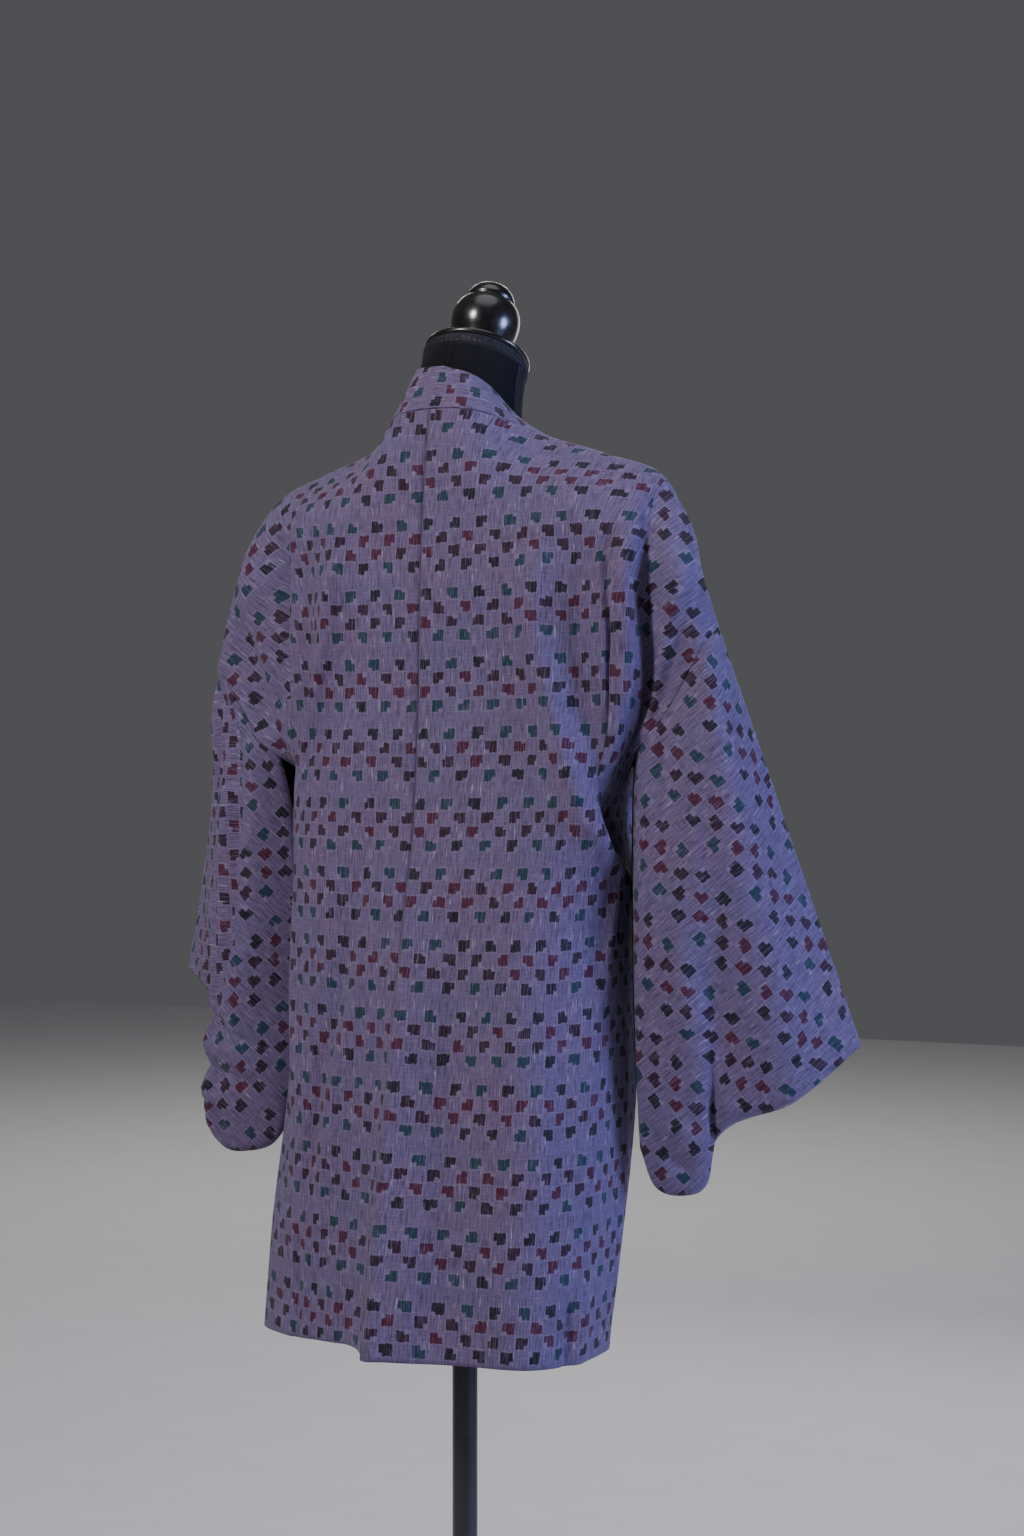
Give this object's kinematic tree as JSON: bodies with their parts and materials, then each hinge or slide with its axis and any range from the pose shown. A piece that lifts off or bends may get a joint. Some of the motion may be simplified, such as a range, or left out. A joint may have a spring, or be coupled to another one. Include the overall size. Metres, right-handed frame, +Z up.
{
  "type": "haori jacket on dress form",
  "caption": "Open-fronted haori jacket with wide sleeves, hanging on a limbless dress form with a pole and round base.",
  "frame": {"origin": "centre of the base's underside, on the pole's axis", "axes": "+Z up along the pole; the wearer faces -Y, and the wearer's left is +X"},
  "size_m": [0.651, 0.3917, 1.4862],
  "materials": {
    "haori_cloth": "matte woven cloth with a small woven check repeat",
    "lining": "smooth dark teal lining with a soft sheen",
    "form_cover": "matte black jersey",
    "braid": "dark woven braid",
    "lacquered_wood": "gloss black lacquer on turned wood",
    "black_metal": "gloss black paint"
  },
  "bodies": {
    "root": {"base": "black_metal", "body_left": "haori_cloth", "body_right": "haori_cloth", "collar": "haori_cloth", "cuff_lining_left": "lining", "cuff_lining_right": "lining", "dress_form": "form_cover", "finial": "lacquered_wood", "gusset_left": "haori_cloth", "gusset_right": "haori_cloth", "neck_cap": "lacquered_wood", "neck_trim": "braid", "pole": "black_metal", "sleeve_left": "haori_cloth", "sleeve_right": "haori_cloth"}
  },
  "joints": []
}
